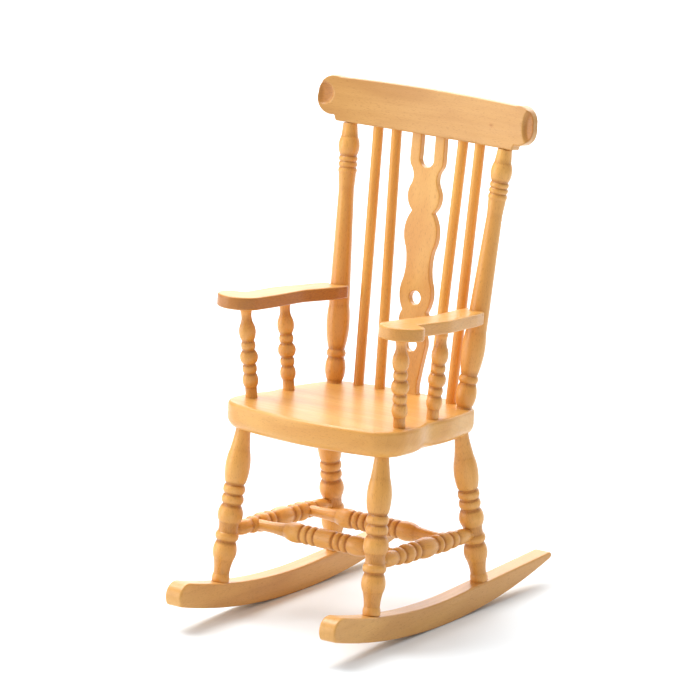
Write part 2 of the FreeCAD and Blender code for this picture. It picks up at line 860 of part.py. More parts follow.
def splat_mortise(name, centre, wide, bottom, tall):
    """The slot for a splat tenon, larger by the glue gap all round."""
    gap = size["glue_gap"]
    slot = doc.addObject("Part::Box", name)
    slot.setExpression("Length", "sizes.%s + 2 * sizes.glue_gap" % wide)
    slot.setExpression("Width", "sizes.splat_thickness + 2 * sizes.glue_gap")
    slot.setExpression("Height", "sizes.%s + %s" % (tall, cell(LAP + 2 * gap)[0]))
    local = Vector(centre - size[wide] / 2 - gap, -size["splat_thickness"] / 2 - gap, bottom - gap)
    slot.Placement = Placement(splat_foot, splat_turn) * Placement(local, Rotation())
    return slot


def crest_blank():
    """The rail's front view, cut out of a board that is bent to the back's curve."""
    front = new_body("crest_front_view")
    sketch = new_sketch(front, "crest_outline", "XZ_Plane")
    straight, rise, half = "crest_straight", "crest_rise", "crest_half_width"
    right = [
        (times(straight, 1.0), cell(0.0)),
        (times(straight, 1.018), times(rise, 0.13)),
        (times(half, 0.995), times(rise, 0.33), times(half, 1.0), times(rise, 0.58)),
        (times(half, 0.955), times(rise, 0.90), times(half, 0.83), times(rise, 0.965)),
    ]
    crown = (cell(0.0), times(rise, 1.0), minus_pair(right[3][2]), right[3][3])
    draw(sketch, right[0], right[1:] + [crown] + reflected(right) + [right[0]])
    pad = front.newObject("PartDesign::Pad", "crest_front_pad")
    pad.Profile = sketch
    pad.Midplane = True
    pad.setExpression("Length", "sizes.crest_thickness * 4")

    plan = new_body("crest_plan_view")
    bend = new_sketch(plan, "crest_bend", "XY_Plane")
    radius = size["back_plan_radius"]
    thick = size["crest_thickness"]
    wide = size["crest_half_width"] + OVERSHOOT

    def arc_y(across, ring):
        return math.sqrt(ring ** 2 - across ** 2) - radius

    outer, inner = radius + thick / 2, radius - thick / 2
    corners = [Vector(sign * wide, arc_y(wide, ring), 0)
               for sign, ring in ((-1, outer), (1, outer), (1, inner), (-1, inner))]
    bend.addGeometry(Part.Arc(corners[0], Vector(0, arc_y(0, outer), 0), corners[1]), False)
    bend.addGeometry(Part.LineSegment(corners[1], corners[2]), False)
    bend.addGeometry(Part.Arc(corners[2], Vector(0, arc_y(0, inner), 0), corners[3]), False)
    bend.addGeometry(Part.LineSegment(corners[3], corners[0]), False)
    for index in range(4):
        following = (index + 1) % 4
        corner = corners[(index + 1) % 4]
        rule = Sketcher.Constraint(
            "Coincident",
            index,
            end_position(bend, index, corner),
            following,
            end_position(bend, following, corner),
        )
        bend.addConstraint(rule)
    rise_pad = plan.newObject("PartDesign::Pad", "crest_plan_pad")
    rise_pad.Profile = bend
    rise_pad.Midplane = True
    rise_pad.setExpression("Length", "sizes.crest_rise * 3")

    blank = doc.addObject("Part::Common", "crest_blank")
    blank.Base = front
    blank.Tool = plan
    lean = Placement(crest_under(0), Rotation(Vector(1, 0, 0), -size["back_lean"]))
    blank.Placement = lean
    return blank, lean


crest, crest_place = crest_blank()
crest_tools = []
for side, sign in SIDES:
    for key, diameter in (("back_post", "post_tenon"), ("outer_spindle", "spindle"),
                          ("inner_spindle", "spindle")):
        start, end = side_ends(key, sign)
        hole_name = "crest_%s_%s_hole" % (key, side)
        crest_tools.append(into(start, end, "crest_tenon", hole_name, diameter))
    cove = doc.addObject("Part::Cylinder", "crest_cove_" + side)
    cove.setExpression("Radius", "sizes.crest_cove_radius")
    cove.setExpression("Height", "sizes.crest_rise * 3")
    depth = size["crest_cove_radius"] - size["crest_cove_depth"]
    bow = size["crest_half_width"] ** 2 / (2 * size["back_plan_radius"])
    local = Vector(sign * size["crest_cove_x"], -size["crest_thickness"] / 2 - bow - depth,
                   -size["crest_rise"])
    turn = Rotation(Vector(0, 1, 0), sign * size["crest_cove_turn"])
    cove.Placement = crest_place * Placement(local, turn)
    crest_tools.append(cove)
    crest_tools.append(splat_mortise("crest_splat_slot_" + side, sign * size["splat_prong_x"],
                                     "splat_prong_width", height - LAP, "splat_prong_depth"))
pieces.append(carve("crest_rail", crest, crest_tools))


# ---- arms and their supports --------------------------------------------------------

def bore_centre():
    """Where the back post's axis crosses the underside of the right arm."""
    start, end = ENDS["back_post"]
    low, high = 0.0, 1.0
    for _ in range(40):
        mid = (low + high) / 2
        point = along(start, end, mid)
        if point.z < arm_under(point.x, point.y).z:
            low = mid
        else:
            high = mid
    return along(start, end, low)


BORE = bore_centre()


def arm(side, sign):
    """A shaped arm: outline sawn from a plank, edges rounded, hollowed against the back post."""
    name = "arm_" + side
    body = new_body(name + "_blank")
    sketch = new_sketch(body, name + "_outline", "XY_Plane")
    round_off(sketch, [(sign * x, y, radius) for x, y, radius in ARM_CORNERS])
    pad = body.newObject("PartDesign::Pad", name + "_plank")
    pad.Profile = sketch
    pad.setExpression("Length", "sizes.arm_thickness")
    round_edges(body, name + "_under_edge", 0.0, "arm_rounding")
    round_edges(body, name + "_top_edge", size["arm_thickness"], "arm_rounding")
    body.Placement = Placement(
        Vector(sign * BORE.x, BORE.y, BORE.z),
        Rotation(Vector(1, 0, 0), -size["arm_tilt"]),
    )
    tools = []
    for where in ("front", "rear"):
        start, end = side_ends("support_" + where, sign)
        hole_name = "%s_%s_hole" % (name, where)
        tools.append(into(start, end, "arm_tenon", hole_name, "support_top"))
    start, end = side_ends("back_post", sign)
    bore = doc.addObject("Part::Cylinder", name + "_bore")
    bore.setExpression("Radius", "sizes.post_shaft_low / 2 + sizes.arm_bore_clearance")
    bore.setExpression("Height", "sizes.arm_thickness * 5")
    way = (end - start).normalize()
    middle = Vector(sign * BORE.x, BORE.y, BORE.z)
    bore.Placement = stand(middle - way * 2 * size["arm_thickness"], middle)
    tools.append(bore)
    return carve(name, body, tools)


def arm_support(where, side, sign):
    """A turned pillar between the seat and the arm."""
    key = "support_" + where
    name = "arm_support_%s_%s" % (where, side)
    body = turning(name, key + "_length", ARM_SUPPORT, "seat_tenon", "arm_tenon")
    body.Placement = stand(*side_ends(key, sign))
    return body


pieces += [arm(side, sign) for side, sign in SIDES]
for where in ("front", "rear"):
    pieces += [arm_support(where, side, sign) for side, sign in SIDES]


# ---- seat ---------------------------------------------------------------------------

def seat():
    """The seat plank: a bowed front, waisted sides and a curved back edge."""
    body = new_body("seat_plank")
    sketch = new_sketch(body, "seat_outline", "XY_Plane")
    left = [(-x, y, radius) for x, y, radius in SEAT_SIDE]
    round_off(sketch, [SEAT_FRONT, *SEAT_SIDE, SEAT_REAR, *left[::-1]])
    pad = body.newObject("PartDesign::Pad", "seat_pad")
    pad.Profile = sketch
    pad.Reversed = True
    pad.setExpression("Length", "sizes.seat_thickness")
    round_edges(body, "seat_lower_edge", -size["seat_thickness"], "seat_lower_rounding")
    round_edges(body, "seat_upper_edge", 0.0, "seat_upper_rounding")
    body.Placement = Placement(
        Vector(0, 0, size["seat_height"]),
        Rotation(Vector(1, 0, 0), -size["seat_tilt"]),
    )
    tools = []
    for side_name, sign in SIDES:
        for key, diameter in (
            ("leg_front", "leg_neck"),
            ("leg_rear", "leg_neck"),
            ("back_post", "post_base"),
            ("outer_spindle", "spindle"),
            ("inner_spindle", "spindle"),
            ("support_front", "support_base"),
            ("support_rear", "support_base"),
        ):
            end, start = side_ends(key, sign)
            hole_name = "seat_%s_%s_hole" % (key, side_name)
            tools.append(into(start, end, "seat_tenon", hole_name, diameter))
    tools.append(splat_mortise("seat_splat_slot", 0, "splat_foot_width",
                               -size["splat_foot_depth"], "splat_foot_depth"))
    return carve("seat", body, tools)


pieces.append(seat())


# ---- checks and files ---------------------------------------------------------------

doc.recompute()
bad = [item.Name for item in doc.Objects if {"Invalid", "Error"} & set(item.State)]
for piece in pieces:
    shape = piece.Shape
    if shape.isNull() or not shape.isValid() or len(shape.Solids) != 1:
        bad.append("shape of " + piece.Label)
if bad:
    sys.exit("failed: " + ", ".join(bad))

os.makedirs("parts", exist_ok=True)
total = 0.0
moment = Vector()
for piece in pieces:
    piece.Shape.exportStep("parts/%s.step" % piece.Label)
    solid = piece.Shape.Solids[0]
    total += solid.Volume
    moment += solid.CenterOfMass * solid.Volume
centre = moment / total
print("%d pieces, volume %.1f mm3" % (len(pieces), total))
print("centre of mass %.2f %.2f %.2f" % (centre.x, centre.y, centre.z))
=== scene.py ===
import json
import math

import bpy
import numpy as np
from mathutils import Matrix, Vector
from mathutils.geometry import delaunay_2d_cdt


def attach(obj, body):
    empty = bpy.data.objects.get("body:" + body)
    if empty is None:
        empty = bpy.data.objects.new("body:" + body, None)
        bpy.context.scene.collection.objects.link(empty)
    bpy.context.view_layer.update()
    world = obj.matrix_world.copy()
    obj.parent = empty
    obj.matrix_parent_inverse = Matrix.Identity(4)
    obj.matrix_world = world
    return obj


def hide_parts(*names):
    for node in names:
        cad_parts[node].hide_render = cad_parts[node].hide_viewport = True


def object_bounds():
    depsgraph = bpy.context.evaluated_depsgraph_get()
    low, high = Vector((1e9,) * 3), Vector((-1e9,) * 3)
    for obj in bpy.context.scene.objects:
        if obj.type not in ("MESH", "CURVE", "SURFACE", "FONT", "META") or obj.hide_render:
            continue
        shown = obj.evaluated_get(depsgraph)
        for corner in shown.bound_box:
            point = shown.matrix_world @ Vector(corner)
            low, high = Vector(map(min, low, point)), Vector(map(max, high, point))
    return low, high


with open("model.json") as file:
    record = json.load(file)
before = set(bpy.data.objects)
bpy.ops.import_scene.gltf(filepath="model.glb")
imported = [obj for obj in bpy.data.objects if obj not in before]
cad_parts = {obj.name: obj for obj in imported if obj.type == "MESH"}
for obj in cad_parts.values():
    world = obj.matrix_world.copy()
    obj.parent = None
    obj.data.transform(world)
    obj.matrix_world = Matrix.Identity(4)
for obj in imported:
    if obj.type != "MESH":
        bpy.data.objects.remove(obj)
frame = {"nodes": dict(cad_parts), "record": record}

# Looks of the dolls' house rocking chair. Shapes are worked out in millimetres, in the
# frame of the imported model, and divided by MM when they become meshes.

MM = 1000.0
END_FACE = 0.04      # points this near a turned piece's end belong to its end face
AXIS_GAP = 0.02      # outline points nearer the axis than this are not on the turned surface
SHOULDER = 0.3       # a step in radius larger than this is a shoulder, which glue fills
GLUE_STEPS = 3       # how many outline steps the glue reaches along the piece
EDGE_STEPS = 7       # rings in each rounded edge of a board
SIDE_SHADE_DEPTH = 0.35    # depth over which a board's face colour turns into the painted shade of its side faces
cad_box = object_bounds()
random = np.random.default_rng(12)
slots = {part["node"]: part["material_slot"] for part in frame["record"]["subparts"]}


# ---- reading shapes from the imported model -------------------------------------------

def shell(node):
    """A CAD node's corner points, with doubles merged, and its triangles."""
    mesh = frame["nodes"][node].data
    mesh.calc_loop_triangles()
    points = np.empty(len(mesh.vertices) * 3)
    mesh.vertices.foreach_get("co", points)
    triangles = np.empty(len(mesh.loop_triangles) * 3, int)
    mesh.loop_triangles.foreach_get("vertices", triangles)
    points = points.reshape(-1, 3) * MM
    rounded = np.round(points, 4)
    _, first, same = np.unique(rounded, axis=0, return_index=True, return_inverse=True)
    triangles = same.reshape(-1)[triangles].reshape(-1, 3)
    a, b, c = triangles.T
    return points[first], triangles[(a != b) & (b != c) & (c != a)]


def section(points, triangles, origin, normal):
    """The closed loops in which a plane cuts a shell, longest first."""
    height = (points - origin) @ normal
    height[np.abs(height) < 1e-6] = 1e-6
    above = height > 0
    hit = above[triangles]
    links, spots = {}, {}
    for triangle in triangles[hit.any(1) & ~hit.all(1)]:
        cut = []
        for a, b in zip(triangle, np.roll(triangle, -1)):
            if above[a] != above[b]:
                low, high = min(a, b), max(a, b)
                share = height[low] / (height[low] - height[high])
                spots[low, high] = points[low] + share * (points[high] - points[low])
                cut.append((low, high))
        links.setdefault(cut[0], []).append(cut[1])
        links.setdefault(cut[1], []).append(cut[0])
    loops = []
    while links:
        here = next(iter(links))
        walk = [here]
        options = links.pop(here)
        while True:
            options = [spot for spot in options if spot in links]
            if not options:
                break
            here = options[0]
            walk.append(here)
            options = links.pop(here)
        loops.append(np.array([spots[key] for key in walk]))
    return sorted(loops, key=run_length, reverse=True)


def run_length(loop):
    return np.linalg.norm(np.roll(loop, -1, 0) - loop, axis=1).sum()


def unit(vector):
    vector = np.asarray(vector, float)
    return vector / np.linalg.norm(vector)


def square_to(vector, way):
    """The unit part of a vector that is square to a direction."""
    return unit(vector - way * (vector @ way))


def axis_ends(points):
    """Centres of the two end faces of a turned piece, the lower or leftmost first."""
    middle = points.mean(0)
    way = np.linalg.svd(points - middle, full_matrices=False)[2][0]
    for _ in range(3):
        reach = (points - middle) @ way
        first = points[reach < reach.min() + END_FACE].mean(0)
        last = points[reach > reach.max() - END_FACE].mean(0)
        way = unit(last - first)
    if (last - first) @ np.array((1.0, 1.0, 4.0)) < 0:
        first, last = last, first
    return first, last


def blurred(values, spread):
    """Values smoothed by a bell curve of that many steps, with the ends held."""
    if spread <= 0:
        return values
    reach = int(spread * 3) + 1
    bell = np.exp(-0.5 * (np.arange(-reach, reach + 1) / spread) ** 2)
    padded = np.pad(values, reach, mode="edge")
    return np.convolve(padded, bell / bell.sum(), "valid")


def glued(radius):
    """An outline whose shoulders reach a little further, as glue closes a joint's gap."""
    filled = radius.copy()
    for i in np.flatnonzero(radius[:-1] - radius[1:] > SHOULDER):
        filled[i + 1:i + 1 + GLUE_STEPS] = radius[i]
    for i in np.flatnonzero(radius[1:] - radius[:-1] > SHOULDER):
        filled[max(0, i + 1 - GLUE_STEPS):i + 1] = radius[i + 1]
    return filled


def flat_frame(points, triangles, along):
    """A board's own frame: x along the grain, z out of its broad face, and its two faces."""
    a, b, c = points[triangles].transpose(1, 0, 2)
    normals = np.cross(b - a, c - a)
    areas = np.linalg.norm(normals, axis=1)
    normals = normals / np.maximum(areas, 1e-12)[:, None]
    _, where = np.unique(np.round(normals, 2), axis=0, return_inverse=True)
    weight = np.bincount(where.reshape(-1), areas)
    broad = unit((normals * areas[:, None])[where.reshape(-1) == weight.argmax()].sum(0))
    if broad @ np.array((1.0, -2.0, 3.0)) < 0:
        broad = -broad
    x_axis = square_to(np.asarray(along, float), broad)
    turn = np.array((x_axis, np.cross(broad, x_axis), broad))
    level = (points @ broad)[triangles[np.abs(normals @ broad) > 0.999]]
    return turn, level.min(), level.max()


# ---- meshes -------------------------------------------------------------------------

def add_piece(node, points, faces, grain, stain_and_shade, material):
    """A finished mesh in place of a CAD node, with its grain space and its mask of stain and
    painted shade.
    """
    name = node + "_wood"
    mesh = bpy.data.meshes.new(name)
    mesh.from_pydata((points / MM).tolist(), [], faces)
    mesh.validate()
    mesh.update()
    mesh.polygons.foreach_set("use_smooth", np.ones(len(mesh.polygons), bool))
    space = mesh.attributes.new("grain", "FLOAT_VECTOR", "POINT")
    space.data.foreach_set("vector", np.ascontiguousarray(grain, np.float32).reshape(-1))
    shade = mesh.attributes.new("stain_and_shade", "FLOAT", "POINT")
    shade.data.foreach_set("value", np.ascontiguousarray(stain_and_shade, np.float32))
    mesh.materials.append(material)
    piece = bpy.data.objects.new(name, mesh)
    bpy.context.scene.collection.objects.link(piece)
    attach(piece, "root")
    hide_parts(node)


def turned(node, material, step=0.08, around=56, soft=0.035):
    """A lathe-turned piece: the CAD node's own half outline, revolved finely."""
    points, triangles = shell(node)
    first, last = axis_ends(points)
    way = unit(last - first)
    # the outline is read on the side that has no socket: away from the chair's middle,
    # and on top of the rails that lie between the legs
    side = np.array((math.copysign(1.0, (first + last)[0]), 0.0, 0.0))
    if abs(way[2]) < 0.5:
        side = np.array((0.0, 0.0, 1.0))
    out = square_to(side, way)
    loop = section(points, triangles, first, np.cross(way, out))[0]
    place, radius = (loop - first) @ way, (loop - first) @ out
    # the outer half of the loop, walked from the first end to the last
    outer = radius > AXIS_GAP
    begin = np.flatnonzero(outer & ~np.roll(outer, 1))[0]
    place, radius, outer = (np.roll(row, -begin) for row in (place, radius, outer))
    place, radius = place[outer], radius[outer]
    if place[-1] < place[0]:
        place, radius = place[::-1], radius[::-1]
    place = np.maximum.accumulate(place)
    length = np.linalg.norm(last - first)
    spots = np.arange(step / 2, length, step)
    raw = glued(np.interp(spots, place, radius))
    fine = blurred(raw, soft / step)
    # painted shade darkens the grooves, where shade falls, along with pooled stain; the slopes
    # show end grain, which takes more stain
    groove_width, groove_depth, slope_width, stain_and_shade_blur = 0.9, 0.15, 0.12, 0.05
    hollow = np.clip((blurred(raw, groove_width / step) - raw) / groove_depth, 0, 1)
    slope = np.abs(np.gradient(blurred(raw, slope_width / step), step))
    stain_and_shade = np.clip(0.85 * hollow + 0.35 * np.clip(slope, 0, 1), 0, 1)
    stain_and_shade = blurred(stain_and_shade, stain_and_shade_blur / step)
    other = np.cross(way, out)
    angle = np.arange(around) * 2 * math.pi / around
    spin = np.cos(angle)[:, None] * out + np.sin(angle)[:, None] * other
    rings = first + way * spots[:, None, None] + fine[:, None, None] * spin[None]
    rows = len(spots)
    faces = ring_faces(rows, around)
    faces.append(list(range(around))[::-1])
    faces.append([(rows - 1) * around + i for i in range(around)])
    heart = random.uniform((-9, 5, 0), (9, 16, 400))
    flat = fine[:, None] * np.cos(angle), fine[:, None] * np.sin(angle)
    grain = np.stack((*flat, np.broadcast_to(spots[:, None], flat[0].shape)), -1) + heart
    stain_and_shade = np.repeat(stain_and_shade, around)
    add_piece(node, rings.reshape(-1, 3), faces, grain.reshape(-1, 3), stain_and_shade, material)


def ring_faces(rows, around, start=0):
    """Quads between rings of points that follow each other."""
    faces = []
    for row in range(rows - 1):
        low = start + row * around
        for i in range(around):
            j = (i + 1) % around
            faces.append((low + i, low + j, low + around + j, low + around + i))
    return faces


def resampled(loop, step, passes=2):
    """A flat loop with even spacing, its corners a little softened, walked anticlockwise."""
    area = np.cross(loop, np.roll(loop, -1, 0)).sum()
    if area < 0:
        loop = loop[::-1]
    closed = np.vstack((loop, loop[:1]))
    run = np.concatenate(([0], np.cumsum(np.linalg.norm(np.diff(closed, axis=0), axis=1))))
    spots = np.linspace(0, run[-1], max(12, int(run[-1] / step)), endpoint=False)
    even = np.stack([np.interp(spots, run, closed[:, k]) for k in (0, 1)], 1)
    for _ in range(passes):
        even = (np.roll(even, 1, 0) + 2 * even + np.roll(even, -1, 0)) / 4
    return even


def inside(points, loops):
    """Which points lie within the outline and outside its holes."""
    odd = np.zeros(len(points), bool)
    for loop in loops:
        for (ax, ay), (bx, by) in zip(loop, np.roll(loop, -1, 0)):
            crosses = (ay > points[:, 1]) != (by > points[:, 1])
            at = ax + (points[:, 1] - ay) * (bx - ax) / (by - ay if by != ay else 1.0)
            odd ^= crosses & (points[:, 0] < at)
    return odd


def board(loops, low, high, low_radius, high_radius, step, mesh_step):
    """A sawn board: flat loops, outline first, given a thickness and rounded edges."""
    # each ring: how far it lies inside the outline, and its level
    rings = []
    for angle in np.linspace(0, math.pi / 2, EDGE_STEPS + 1):
        inset, rise = 1 - math.sin(angle), 1 - math.cos(angle)
        rings.append((low_radius * inset, low + low_radius * rise))
    straight = high - low - low_radius - high_radius
    side_rows = max(2, int(straight / (2 * step)))
    for share in np.linspace(0, 1, side_rows + 2)[1:-1]:
        rings.append((0.0, low + low_radius + share * straight))
    for angle in np.linspace(0, math.pi / 2, EDGE_STEPS + 1):
        inset, rise = 1 - math.cos(angle), math.sin(angle)
        rings.append((high_radius * inset, high - high_radius + high_radius * rise))
    points, faces, caps = [], [], ([], [])
    count = 0
    for index, loop in enumerate(loops):
        sign = 1 if index == 0 else -1
        ahead = np.roll(loop, -1, 0) - np.roll(loop, 1, 0)
        inward = np.stack((-ahead[:, 1], ahead[:, 0]), 1)
        inward *= sign / np.linalg.norm(inward, axis=1)[:, None]
        for inset, level in rings:
            ring = loop + inward * inset
            points.append(np.column_stack((ring, np.full(len(ring), level))))
        band = ring_faces(len(rings), len(loop), count)
        faces += band if sign > 0 else [face[::-1] for face in band]
        caps[0].append((count, loop + inward * rings[0][0]))
        caps[1].append((count + (len(rings) - 1) * len(loop), loop + inward * rings[-1][0]))
        count += len(rings) * len(loop)
    for level, cap in zip((low, high), caps):
        rim = np.vstack([ring for _, ring in cap])
        rim_index = np.concatenate([start + np.arange(len(ring)) for start, ring in cap])
        edges, begin = [], 0
        for _, ring in cap:
            around = len(ring)
            edges += [(begin + i, begin + (i + 1) % around) for i in range(around)]
            begin += around
        lowest, highest = rim.min(0), rim.max(0)
        across = np.arange(lowest[0] + mesh_step / 2, highest[0], mesh_step)
        up = np.arange(lowest[1] + mesh_step / 2, highest[1], mesh_step)
        grid = np.stack(np.meshgrid(across, up), -1).reshape(-1, 2)
        grid = grid[inside(grid, [ring for _, ring in cap])]
        nearest = np.full(len(grid), np.inf)
        for spot in rim[::2]:
            nearest = np.minimum(nearest, ((grid - spot) ** 2).sum(1))
        grid = grid[nearest > (0.6 * mesh_step) ** 2]
        flat = np.vstack((rim, grid))
        result = delaunay_2d_cdt([Vector(p) for p in flat], edges, [], 0, 1e-7)
        numbers = np.concatenate((rim_index, count + np.arange(len(grid))))
        points.append(np.column_stack((grid, np.full(len(grid), level))))
        count += len(grid)
        source = [origin[0] if origin else -1 for origin in result[3]]
        corners = np.array([[source[i] for i in face] for face in result[2]])
        centre = flat[corners].mean(1)
        corners = corners[inside(centre, [ring for _, ring in cap]) & (corners >= 0).all(1)]
        a, b, c = flat[corners].transpose(1, 0, 2)
        turn = np.cross(b - a, c - a)
        flip = (turn < 0) if level == high else (turn > 0)
        corners[flip] = corners[flip][:, ::-1]
        faces += numbers[corners[np.abs(turn) > 1e-9]].tolist()
    return np.vstack(points), faces


def sawn(node, along, material, low_radius, high_radius, step=0.16, mesh_step=0.8,
         cut_at=0.5, holes=0, painted_side_shade=0.0, passes=2):
    """A board read from a CAD node, with rounded edges and painted shade that darkens its side
    faces.
    """
    points, triangles = shell(node)
    turn, low, high = flat_frame(points, triangles, along)
    broad = turn[2]
    loops = section(points, triangles, broad * (low + cut_at * (high - low)), broad)
    loops = [resampled((loop @ turn.T)[:, :2], step, passes) for loop in loops[:1 + holes]]
    local, faces = board(loops, low, high, low_radius, high_radius, step, mesh_step)
    inset = np.minimum(local[:, 2] - low, high - local[:, 2])
    # painted shade: the side faces are painted darker than the broad faces
    stain_and_shade = painted_side_shade * np.clip(inset / SIDE_SHADE_DEPTH, 0, 1)
    heart = random.uniform((0, -9, 5), (400, 9, 16))
    grain = (local - local.mean(0) + heart)[:, (1, 2, 0)]
    add_piece(node, local @ turn, faces, grain, stain_and_shade, material)


# ---- wood ---------------------------------------------------------------------------

DARK = (0.34, 0.12, 0.022, 1.0)
# the next colour paints stain on end grain and the knot, and painted shade in grooves, crest
# hollows and on sawn side faces
STAIN_AND_SHADE = (0.46, 0.17, 0.025, 1.0)


def wood(name, pale, deep, lathe):
    """Lacquered beech: growth rings, streaks, short flecks, and pooled finish with painted
    shade in hollows and on sawn side faces.
    """
    material = bpy.data.materials.new(name)
    material.use_nodes = True
    tree = material.node_tree
    tree.nodes.clear()

    def add(kind, **settings):
        node = tree.nodes.new(kind)
        for key, value in settings.items():
            setattr(node, key, value)
        return node

    def link(a, b):
        tree.links.new(a, b)

    def scaled(source, scale):
        node = add("ShaderNodeVectorMath", operation="MULTIPLY")
        link(source, node.inputs[0])
        node.inputs[1].default_value = scale
        return node.outputs[0]

    def noise(source, scale, detail, rough=0.5):
        node = add("ShaderNodeTexNoise")
        link(source, node.inputs["Vector"])
        node.inputs["Scale"].default_value = scale
        node.inputs["Detail"].default_value = detail
        node.inputs["Roughness"].default_value = rough
        return node.outputs["Fac"]

    def ranged(source, low, high, out_low=0.0, out_high=1.0):
        node = add("ShaderNodeMapRange", interpolation_type="SMOOTHSTEP")
        link(source, node.inputs["Value"])
        limits = {"From Min": low, "From Max": high, "To Min": out_low, "To Max": out_high}
        for key, value in limits.items():
            node.inputs[key].default_value = value
        return node.outputs["Result"]

    def feed(sockets, values):
        for socket, value in zip(sockets, values):
            if isinstance(value, bpy.types.NodeSocket):
                link(value, socket)
            else:
                socket.default_value = value

    def mixed(factor, first, second):
        node = add("ShaderNodeMix", data_type="RGBA")
        feed((node.inputs[0], node.inputs[6], node.inputs[7]), (factor, first, second))
        return node.outputs[2]

    def maths(operation, *values):
        node = add("ShaderNodeMath", operation=operation)
        feed(node.inputs, values)
        return node.outputs[0]

    grain = add("ShaderNodeAttribute", attribute_name="grain").outputs["Vector"]
    stain_and_shade = add("ShaderNodeAttribute", attribute_name="stain_and_shade").outputs["Fac"]
    # growth rings: bands of distance from the tree's heart, wandering along the grain
    wander = noise(scaled(grain, (0.10, 0.10, 0.018)), 1.0, 2.0)
    flat = scaled(grain, (1.0, 1.0, 0.0))
    distance = add("ShaderNodeVectorMath", operation="LENGTH")
    link(flat, distance.inputs[0])
    ring_place = maths("ADD", distance.outputs["Value"], maths("MULTIPLY", wander, 7.0))
    ring = maths("FRACT", maths("MULTIPLY", ring_place, 0.62))
    late = ranged(ring, 0.55, 0.98)
    streaks = noise(scaled(grain, (1.6, 1.6, 0.07)), 1.0, 4.0, 0.6)
    clouds = noise(scaled(grain, (0.16, 0.16, 0.05)), 1.0, 2.0)
    flecks = noise(scaled(grain, (6.5, 6.5, 1.3)), 1.0, 2.0, 0.55)
    pores = noise(scaled(grain, (13.0, 13.0, 1.6)), 1.0, 1.0, 0.5)
    colour = mixed(ranged(clouds, 0.3, 0.7), pale, deep)
    colour = mixed(maths("MULTIPLY", late, 0.08), colour, DARK)
    colour = mixed(ranged(streaks, 0.35, 0.75, 0.0, 0.30), colour, deep)
    colour = mixed(ranged(flecks, 0.55, 0.72, 0.0, 0.34), colour, DARK)
    colour = mixed(ranged(pores, 0.62, 0.74, 0.0, 0.16), colour, DARK)
    # painted shade plus real stain: grooves, crest hollows and sawn side faces are darkened
    # here, with darker flecks in them
    flecked_stain_and_shade = maths("MULTIPLY", ranged(flecks, 0.45, 0.62), stain_and_shade)
    colour = mixed(maths("MULTIPLY", stain_and_shade, 0.85), colour, STAIN_AND_SHADE)
    colour = mixed(maths("MULTIPLY", flecked_stain_and_shade, 0.45), colour, DARK)
    bump_height = maths("ADD", maths("MULTIPLY", streaks, 0.5), maths("MULTIPLY", flecks, 0.5))
    if lathe:
        lines = noise(scaled(grain, (0.02, 0.02, 5.5)), 1.0, 3.0, 0.65)
        bump_height = maths("ADD", bump_height, maths("MULTIPLY", lines, 0.9))
    bump = add("ShaderNodeBump")
    bump.inputs["Strength"].default_value = 0.20
    bump.inputs["Distance"].default_value = 0.00006
    link(bump_height, bump.inputs["Height"])
    shader = add("ShaderNodeBsdfPrincipled")
    link(colour, shader.inputs["Base Color"])
    link(ranged(streaks, 0.3, 0.8, 0.36, 0.50), shader.inputs["Roughness"])
    link(bump.outputs["Normal"], shader.inputs["Normal"])
    shader.inputs["Coat Weight"].default_value = 0.4
    shader.inputs["Coat Roughness"].default_value = 0.25
    shader.inputs["Specular IOR Level"].default_value = 0.3
    output = add("ShaderNodeOutputMaterial")
    link(shader.outputs["BSDF"], output.inputs["Surface"])
    return material


# the rocker and crest copies are darker and the spindle copy a deeper orange, partly as pieces
# of wood differ in tone and partly as painted shade for how light falls on them
sawn_wood = wood("sawn_beech", (0.74, 0.395, 0.097, 1.0), (0.66, 0.305, 0.062, 1.0), False)
turned_wood = wood("turned_beech", (0.79, 0.405, 0.097, 1.0), (0.70, 0.315, 0.062, 1.0), True)
rocker_wood_with_shade = wood("rocker_beech", (0.70, 0.37, 0.100, 1.0), (0.60, 0.29, 0.067, 1.0), False)
crest_wood_with_shade = wood("crest_beech", (0.61, 0.31, 0.080, 1.0), (0.51, 0.235, 0.052, 1.0), False)
spindle_wood = wood("spindle_beech", (0.82, 0.40, 0.070, 1.0), (0.72, 0.30, 0.042, 1.0), True)


# ---- pieces -------------------------------------------------------------------------

# widths and roundings in millimetres; the side-shade number is how much painted shade darkens
# the sawn side faces, far more on the left arm to stand for the shade on its inner side
for side in ("left", "right"):
    sawn("rocker_" + side, (0, 1, 0), rocker_wood_with_shade, 0.38, 0.38, step=0.2, cut_at=0.88)
sawn("arm_left", (0, 1, 0), sawn_wood, 0.42, 0.42, painted_side_shade=1.5)
sawn("arm_right", (0, 1, 0), sawn_wood, 0.42, 0.42, painted_side_shade=0.28)
sawn("seat", (1, 0, 0), sawn_wood, 2.5, 0.75, step=0.25, cut_at=0.70)
sawn("splat", (0, 0, 1), sawn_wood, 0.22, 0.22, step=0.1, mesh_step=0.6, holes=2, passes=1)

for node, slot_name in slots.items():
    if slot_name == "turned_wood":
        turned(node, turned_wood)
    if slot_name == "spindle_wood":
        turned(node, spindle_wood, step=0.5, around=32, soft=0.0)

LEAN = math.radians(9.4)     # how far the crest rail leans back
BOW = 150.0                  # the radius it is bent to
# thumb-shaped hollows at the crest's ends: middle, reach, half height, depth and where the
# rim behind them starts; the right one runs out over the end
SCOOPS = {
    -1: (25.0, 2.6, 2.4, 0.50, 25.4),
    1: (26.7, 2.9, 4.2, 1.10, 40.0),
}
# a small knot through the crest: across, up from its lower edge, half width, half height
KNOT = (15.7, 4.2, 0.38, 0.24)


def bow(across):
    """How far the bent crest rail comes forward at a distance from its middle."""
    return BOW - np.sqrt(BOW ** 2 - across ** 2)


